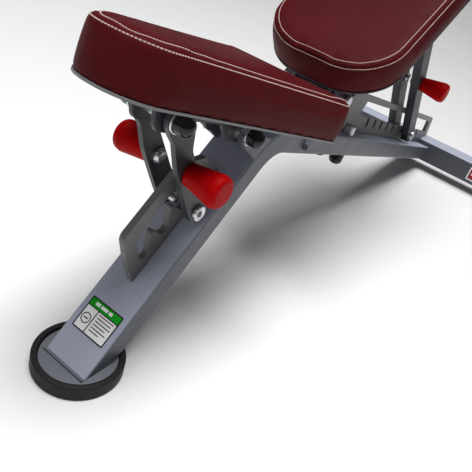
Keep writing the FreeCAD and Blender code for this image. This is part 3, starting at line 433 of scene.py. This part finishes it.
def swell(shell, low):
    """Cloth under pressure swells the shell, which stays glued to its board below."""
    made = bpy.data.objects.new("swelling", shell)
    bpy.context.scene.collection.objects.link(made)
    bpy.context.view_layer.objects.active = made
    remesh = made.modifiers.new("voxels", "REMESH")
    remesh.mode = "VOXEL"
    remesh.voxel_size = VOXEL
    remesh.use_smooth_shade = True
    graph = bpy.context.evaluated_depsgraph_get()
    fine = bpy.data.meshes.new_from_object(made.evaluated_get(graph))
    made.modifiers.clear()
    made.data = fine
    start = [vert.co.copy() for vert in fine.vertices]
    glued = made.vertex_groups.new(name="glued")
    bottom = [vert.index for vert in fine.vertices if vert.co.z < low + GLUED_HEIGHT]
    glued.add(bottom, 1.0, "REPLACE")
    cloth = made.modifiers.new("cloth", "CLOTH")
    cloth.settings.use_pressure = True
    cloth.settings.uniform_pressure_force = 1.5
    cloth.settings.vertex_group_mass = "glued"
    cloth.settings.effector_weights.gravity = 0.0
    cloth.settings.quality = 4
    cloth.settings.mass = 0.35
    cloth.settings.tension_stiffness = 22.0
    cloth.settings.compression_stiffness = 22.0
    cloth.settings.bending_stiffness = 1.2
    cloth.collision_settings.use_collision = False
    cloth.point_cache.frame_start = 1
    cloth.point_cache.frame_end = CLOTH_FRAMES
    for step in range(1, CLOTH_FRAMES + 1):
        bpy.context.scene.frame_set(step)
    graph = bpy.context.evaluated_depsgraph_get()
    swollen = made.evaluated_get(graph).to_mesh()
    moved = [vert.co.copy() for vert in swollen.vertices]
    made.evaluated_get(graph).to_mesh_clear()
    made.modifiers.clear()
    made.vertex_groups.clear()
    for vert, before, after in zip(fine.vertices, start, moved):
        shift = after - before
        if shift.length > MOST_SWELL:
            shift *= MOST_SWELL / shift.length
        vert.co = before + shift
    bpy.context.scene.frame_set(1)
    build = bmesh.new()
    build.from_mesh(fine)
    for _ in range(2):
        bmesh.ops.smooth_vert(build, verts=build.verts, factor=0.4, use_axis_x=True,
                              use_axis_y=True, use_axis_z=True)
    for vert in build.verts:
        vert.co.z = max(vert.co.z, low)
    build.to_mesh(fine)
    build.free()
    smooth = made.modifiers.new("smooth", "SUBSURF")
    smooth.levels = 1
    smooth.render_levels = 1
    graph = bpy.context.evaluated_depsgraph_get()
    final = bpy.data.meshes.new_from_object(made.evaluated_get(graph))
    bpy.data.objects.remove(made)
    for face in final.polygons:
        face.use_smooth = True
    return final


def stitch(build, spot, along, normal):
    """One stitch: a plump bead that dives into the cover at both ends."""
    length, width = STITCH_PITCH * 0.92, STITCH_WIDTH
    across = along.cross(normal).normalized()
    rings = []
    for share in (-1.0, -0.72, 0.0, 0.72, 1.0):
        full = math.sqrt(max(0.0, 1 - abs(share) ** 3))
        centre = spot + along * (length / 2 * share) + normal * (width * (0.42 * full - 0.30))
        ring = []
        for side in range(6):
            angle = math.pi / 3 * side
            reach = width / 2 * max(full, 0.15)
            ring.append(build.verts.new(centre + across * (math.cos(angle) * reach)
                                        + normal * (math.sin(angle) * reach * 0.8)))
        rings.append(ring)
    for first, second in zip(rings, rings[1:]):
        for side in range(6):
            after = (side + 1) % 6
            build.faces.new((first[side], first[after], second[after], second[side]))
    build.faces.new(rings[0])
    build.faces.new(rings[-1])


def evened(found, index):
    """A row's point and normal, averaged with its neighbours so that the row runs straight."""
    near = [found[(index + step) % len(found)] for step in range(-1, 2)]
    spot = sum((place for place, _ in near), Vector()) / len(near)
    return spot, sum((normal for _, normal in near), Vector()).normalized()


def on_cover(tree, origins, directions):
    """Points and normals of the cover, found by looking from each origin along its direction."""
    found = []
    for origin, direction in zip(origins, directions):
        hit, normal, _, _ = tree.ray_cast(origin, direction)
        if hit is not None:
            found.append((hit, normal))
    return found


def stitch_row(found, build):
    """A closed row of stitches through points of the cover."""
    count = len(found)
    found = [evened(found, index) for index in range(count)]
    for index in range(count):
        here, normal = found[index]
        ahead = found[(index + 1) % count][0] - found[index - 1][0]
        along = (ahead - normal * ahead.dot(normal)).normalized()
        stitch(build, here, along, normal)


def seam_ridge(found, build):
    """The joined edge of two panels: a low rolled ridge that follows the cover."""
    rings = []
    count = len(found)
    for index in range(count):
        here, normal = found[index]
        along = (found[(index + 1) % count][0] - found[index - 1][0]).normalized()
        across = along.cross(normal).normalized()
        ring = []
        for side in range(8):
            angle = math.pi / 4 * side
            ring.append(build.verts.new(here - normal * SEAM_RADIUS * 0.35
                                        + across * (math.cos(angle) * SEAM_RADIUS)
                                        + normal * (math.sin(angle) * SEAM_RADIUS)))
        rings.append(ring)
    for index in range(count):
        first, second = rings[index], rings[(index + 1) % count]
        for side in range(8):
            after = (side + 1) % 8
            build.faces.new((first[side], first[after], second[after], second[side]))


def upholstered(name, body, space, corners, radii, low, high, middle, crown, rows, node):
    """A foam pad in its sewn cover, with two rows of stitching and the seam between them."""
    outline = rounded_outline(corners, radii)
    shell = cushion_shell(outline, low - 0.0015, high - 0.0005, crown, Vector(middle))
    cover = swell(shell, low)
    tree = BVHTree.FromPolygons([vert.co for vert in cover.vertices],
                                [face.vertices[:] for face in cover.polygons])
    side_level, top_inset = rows
    path = resampled(outline, STITCH_PITCH)
    normals = inward(path)
    into = [Vector((normal.x, normal.y, 0)) for normal in normals]
    down = [Vector((0, 0, -1))] * len(path)
    slant = [(direction - Vector((0, 0, 1))).normalized() for direction in into]
    side_spots = []
    top_spots = []
    seam_spots = []
    for spot, normal, lean in zip(path, normals, slant):
        wide = spot - normal * CAST_FROM
        inner = spot + normal * top_inset
        edge = spot + normal * 0.004
        side_spots.append(Vector((wide.x, wide.y, side_level)))
        top_spots.append(Vector((inner.x, inner.y, high + 0.1)))
        seam_spots.append(Vector((edge.x, edge.y, high)) - lean * CAST_FROM - Vector((0, 0, 0.001)))
    threads = bmesh.new()
    stitch_row(on_cover(tree, side_spots, into), threads)
    stitch_row(on_cover(tree, top_spots, down), threads)
    ridge = bmesh.new()
    seam_ridge(on_cover(tree, seam_spots, slant), ridge)
    cushion = piece(name, cover, materials["upholstery"], body, space)
    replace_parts(cushion, node)
    piece(name + "_stitches", as_mesh("stitches", threads), thread_cream, body, space)
    piece(name + "_seam", as_mesh("seam", ridge), materials["upholstery"], body, space)


seat_space = pad_space(0.060, 0.379, -13.0)
back_space = pad_space(0.465, 0.360, 32.5)
seat_floor, seat_top = 0.0213, 0.0803
back_floor, back_top = 0.0353, 0.0883
upholstered("seat_pad", "seat", seat_space,
            [(-0.0505, -0.1172), (0.0505, -0.1172), (0.116, 0.283), (-0.116, 0.283)],
            [0.056, 0.056, 0.009, 0.009], seat_floor, seat_top, (0.0, 0.10), 0.004,
            (seat_top - 0.0048, 0.0110), "seat_cushion")
upholstered("back_pad", "back", back_space,
            [(-0.120, -0.021), (0.120, -0.021), (0.120, 0.799), (-0.120, 0.799)],
            [0.090, 0.090, 0.060, 0.060], back_floor, back_top, (0.0, 0.40), 0.005,
            (back_top - 0.0070, 0.0100), "back_cushion")


# ---------------------------------------------------------------- bolts and labels

PIN_START, PIN_SHOULDER = 0.0056, 0.0315
PIN_RADIUS, PIN_HEAD_RADIUS, PIN_HEAD_TALL = 0.007, 0.012, 0.006
PIN_SIDES = 48
CAP_SIDES = 56


def socket_pin(build, matrix):
    """A shouldered pin whose round head has a hexagon socket."""
    start, outer, radius, head = PIN_START, PIN_SHOULDER, PIN_RADIUS, PIN_HEAD_RADIUS
    top = outer + PIN_HEAD_TALL
    shank = [(start, 0), (start, radius - 0.0015), (start + 0.0015, radius), (outer, radius)]
    crown = [(outer, head), (top - 0.0016, head), (top - 0.0005, head - 0.0005), (top, head - 0.0018)]
    lathe(build, shank + crown, matrix, PIN_SIDES)
    rim_radius, hex_radius, depth = head - 0.0018, head * 0.46, PIN_HEAD_TALL * 0.62

    def circle(radius_here, along, flats):
        ring = []
        for side in range(PIN_SIDES):
            angle = 2 * math.pi * side / PIN_SIDES
            reach = radius_here
            if flats:
                within = (angle % (math.pi / 3)) - math.pi / 6
                reach = radius_here * math.cos(math.pi / 6) / math.cos(within)
            ring.append(build.verts.new(matrix @ Vector((along, reach * math.cos(angle),
                                                         reach * math.sin(angle)))))
        return ring

    rings = [circle(rim_radius, top, False),
             circle(rim_radius * 0.82, top - 0.0001, False),
             circle(rim_radius * 0.76, top - 0.0005, False),
             circle(hex_radius * 1.16, top - 0.0005, False),
             circle(hex_radius, top - 0.0012, True),
             circle(hex_radius * 0.98, top - depth, True)]
    for first, second in zip(rings, rings[1:]):
        for side in range(PIN_SIDES):
            after = (side + 1) % PIN_SIDES
            build.faces.new((first[side], first[after], second[after], second[side]))
    build.faces.new(rings[-1])


def sideways(y, z, start=0.0):
    """Places of a right-hand and a left-hand turned part on one axle."""
    right = Matrix.Translation((start, y, z))
    return [right, Matrix.Translation((-start, y, z)) @ Matrix.Rotation(math.pi, 4, "Z")]


def pins(node, name, body, y, z):
    """The two pins of a pair of arms stand in for their plain CAD node."""
    build = bmesh.new()
    for place in sideways(y, z):
        socket_pin(build, place)
    bmesh.ops.recalc_face_normals(build, faces=build.faces)
    mesh = as_mesh(name, build)
    mesh.set_sharp_from_angle(angle=math.radians(35))
    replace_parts(piece(name, mesh, materials["zinc"], body), node)


def caps(node, name, body, places, radius, tall, dome):
    """Glossy domed caps stand in for their plain CAD node."""
    profile = [(0.0, radius * 1.06), (0.0016, radius * 1.06), (0.0024, radius)]
    profile += [(tall - dome + dome * math.sin(angle), radius * math.cos(angle))
                for angle in (math.pi / 32 * part for part in range(16))]
    build = bmesh.new()
    for place in places:
        lathe(build, profile + [(tall, 0.0)], place, CAP_SIDES)
    bmesh.ops.recalc_face_normals(build, faces=build.faces)
    mesh = as_mesh(name, build)
    mesh.set_sharp_from_angle(angle=math.radians(40))
    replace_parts(piece(name, mesh, materials["black_plastic"], body), node)


pins("seat_pins", "seat_pin_bolts", "seat_arms", 0.150, 0.227)
pins("back_pins", "back_pin_bolts", "back_arms", 1.100, 0.161)

pivot_cap = (0.0125, 0.021, 0.011)
caps("seat_pivot_caps", "seat_pivot_domes", "seat", sideways(0.060, 0.379, 0.0349), *pivot_cap)
caps("seat_hinge_caps", "seat_hinge_domes", "frame", sideways(0.215, 0.336, 0.043), *pivot_cap)
caps("back_pivot_caps", "back_pivot_domes", "back", sideways(0.8199, 0.5195, 0.0413), *pivot_cap)

knee = Vector((0, 0.293, 0.333))
tube_depth = 0.040
beam_angle = math.radians(13.73)
beam_along = Vector((0, math.cos(beam_angle), -math.sin(beam_angle)))
beam_down = Vector((0, -math.sin(beam_angle), -math.cos(beam_angle)))
beam_turn = Vector((1, 0, 0)).rotation_difference(beam_down).to_matrix().to_4x4()
stud_base = knee + beam_along * 0.362 + beam_down * tube_depth
stud_cap = (0.014, 0.026, 0.010)
stud_places = [Matrix.Translation(stud_base + Vector((offset, 0, 0))) @ beam_turn
               for offset in (0.020, -0.020)]
caps("beam_stud_caps", "beam_stud_domes", "frame", stud_places, *stud_cap)


LIFT = 0.00004
INK_LEVEL = 0.00028
INK_TALL = 0.00005
MARK_TALL = 0.00003
STICKER_ROUND = 0.002


def slab(build, low, high, level, tall, matrix, slot, corner=0.0):
    """A thin printed patch with square or rounded corners."""
    corners = [(low[0], low[1]), (high[0], low[1]), (high[0], high[1]), (low[0], high[1])]
    outline = [Vector(spot) for spot in corners]
    if corner:
        outline = rounded_outline(corners, [corner] * 4, 0.0006)
    lower = [build.verts.new(matrix @ Vector((spot.x, spot.y, level))) for spot in outline]
    upper = [build.verts.new(matrix @ Vector((spot.x, spot.y, level + tall))) for spot in outline]
    faces = [build.faces.new(upper), build.faces.new(lower[::-1])]
    for index in range(len(outline)):
        after = (index + 1) % len(outline)
        faces.append(build.faces.new((lower[index], lower[after], upper[after], upper[index])))
    for face in faces:
        face.material_index = slot


def ring_mark(build, centre, outer, inner, matrix, slot):
    """A flat ring, the generic picture on a label."""
    sides = 36
    level, top = INK_LEVEL, INK_LEVEL + INK_TALL
    loops = []
    for radius, height in ((outer, level), (outer, top), (inner, top), (inner, level)):
        loop = []
        for side in range(sides):
            angle = 2 * math.pi * side / sides
            spot = Vector((centre[0] + radius * math.cos(angle),
                           centre[1] + radius * math.sin(angle), height))
            loop.append(build.verts.new(matrix @ spot))
        loops.append(loop)
    for first, second in zip(loops, loops[1:] + loops[:1]):
        for side in range(sides):
            after = (side + 1) % sides
            face = build.faces.new((first[side], first[after], second[after], second[side]))
            face.material_index = slot


def label_piece(name, node, build, inks):
    bmesh.ops.recalc_face_normals(build, faces=build.faces)
    mesh = as_mesh(name, build, smooth=False)
    for ink in inks:
        mesh.materials.append(ink)
    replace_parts(piece(name, mesh, inks[0], "frame"), node)


def leg_sticker():
    """A header band, a picture box with a plain ring and rows of bars, with no lettering."""
    slope = math.radians(44.66)
    along = Vector((0, math.cos(slope), math.sin(slope)))
    normal = Vector((0, -math.sin(slope), math.cos(slope)))
    leg_reach = 0.4474
    label_middle = 0.071
    middle = knee - along * leg_reach + along * label_middle
    place = Matrix(((1, 0, 0, middle.x), (0, along.y, normal.y, middle.y),
                    (0, along.z, normal.z, middle.z), (0, 0, 0, 1)))
    paper, green, dark = 0, 1, 2
    backing = 0.00020
    build = bmesh.new()
    slab(build, (-0.030, -0.025), (0.030, 0.025), LIFT, backing, place, dark, STICKER_ROUND)
    for low, high, slot in (((-0.0280, 0.0122), (0.0280, 0.0231), green),
                            ((-0.0280, -0.0230), (-0.0086, 0.0107), paper),
                            ((-0.0068, -0.0230), (0.0280, 0.0107), paper)):
        slab(build, low, high, LIFT + backing, LIFT, place, slot)
    ring_mark(build, (-0.0184, -0.0062), 0.0080, 0.0065, place, dark)
    slab(build, (-0.0222, -0.0071), (-0.0146, -0.0053), INK_LEVEL, INK_TALL, place, dark)
    for start, end in ((-0.0190, -0.0110), (-0.0085, 0.0040), (0.0065, 0.0130)):
        slab(build, (start, 0.0158), (end, 0.0204), INK_LEVEL, MARK_TALL, place, paper)
    for row, reach in enumerate((0.0245, 0.0225, 0.0250, 0.0190, 0.0238, 0.0150)):
        level = 0.0072 - row * 0.0048
        slab(build, (-0.0035, level), (reach, level + 0.0014), INK_LEVEL, INK_TALL, place, dark)
    label_piece("leg_sticker", "leg_label", build, [materials["label"], ink_green, ink_dark])


def cross_sticker():
    """A pale sticker with a red block and bars on the cross tube's front face."""
    place = Matrix(((1, 0, 0, 0.212), (0, 0, -1, 1.348), (0, 1, 0, 0.0595), (0, 0, 0, 1)))
    paper, red, dark = 0, 1, 2
    build = bmesh.new()
    slab(build, (-0.031, -0.020), (0.031, 0.020), LIFT, 0.00024, place, paper, STICKER_ROUND)
    slab(build, (-0.027, -0.016), (-0.004, 0.016), INK_LEVEL, INK_TALL, place, red)
    for row, reach in enumerate((0.026, 0.022, 0.025, 0.018)):
        level = 0.0105 - row * 0.0080
        slot = dark if row else red
        slab(build, (0.000, level), (reach, level + 0.0034), INK_LEVEL, INK_TALL, place, slot)
    slab(build, (-0.0215, -0.0035), (-0.0095, 0.0035), INK_LEVEL + INK_TALL, MARK_TALL, place, paper)
    label_piece("cross_sticker", "cross_label", build, [materials["label"], ink_red, ink_dark])


leg_sticker()
cross_sticker()


# ---------------------------------------------------------------- studio

def studio_floor():
    """A wide floor just below the feet."""
    half, level = 45, -0.0003
    build = bmesh.new()
    corners = [(-half, -half), (half, -half), (half, half), (-half, half)]
    build.faces.new([build.verts.new((x, y, level)) for x, y in corners])
    bmesh.ops.subdivide_edges(build, edges=build.edges, cuts=5, use_grid_fill=True)
    mesh = as_mesh("floor", build)
    mesh.materials.append(floor_finish())
    made = bpy.data.objects.new("studio_floor", mesh)
    bpy.context.scene.collection.objects.link(made)


def softbox(name, spot, aim, size, power):
    """A rectangular lamp that looks at a point."""
    data = bpy.data.lights.new(name, "AREA")
    data.shape = "RECTANGLE"
    data.size, data.size_y = size
    data.energy = power
    made = bpy.data.objects.new(name, data)
    made.location = spot
    made.rotation_mode = "QUATERNION"
    made.rotation_quaternion = (Vector(aim) - Vector(spot)).to_track_quat("-Z", "Y")
    bpy.context.scene.collection.objects.link(made)


studio_floor()
ceiling = bpy.data.lights.new("ceiling", "SUN")
ceiling.energy = 2.9
ceiling.angle = math.radians(34)
overhead = bpy.data.objects.new("ceiling", ceiling)
overhead.rotation_euler = (math.radians(-3), math.radians(4), 0)
bpy.context.scene.collection.objects.link(overhead)
softbox("key", (0.15, 0.50, 2.7), (0.05, 0.50, 0.0), (0.8, 0.8), 16)
softbox("front_fill", (-0.3, -2.2, 2.4), (0.0, 0.2, 0.2), (1.2, 1.0), 9)

world = bpy.data.worlds.new("studio")
bpy.context.scene.world = world
world.use_nodes = True
background = world.node_tree.nodes["Background"]
background.inputs["Color"].default_value = (1.0, 1.0, 1.0, 1)
background.inputs["Strength"].default_value = 0.10
bpy.context.scene.view_settings.view_transform = "Standard"

lens = bpy.data.cameras.new("camera")
lens.sensor_width = 36.0
lens.lens = 43.16
lens.clip_start = 0.05
lens.clip_end = 60.0
camera = bpy.data.objects.new("camera", lens)
right = Vector((0.77536, 0.57432, 0.26261))
up = Vector((-0.50232, 0.30886, 0.80764))
ahead = Vector((-0.38274, 0.75812, -0.52798))
eye = Vector((0.38877, -0.42197, 0.62730))
camera.matrix_world = Matrix([(right[row], up[row], -ahead[row], eye[row]) for row in range(3)]
                             + [(0, 0, 0, 1)])
bpy.context.scene.collection.objects.link(camera)
bpy.context.scene.camera = camera
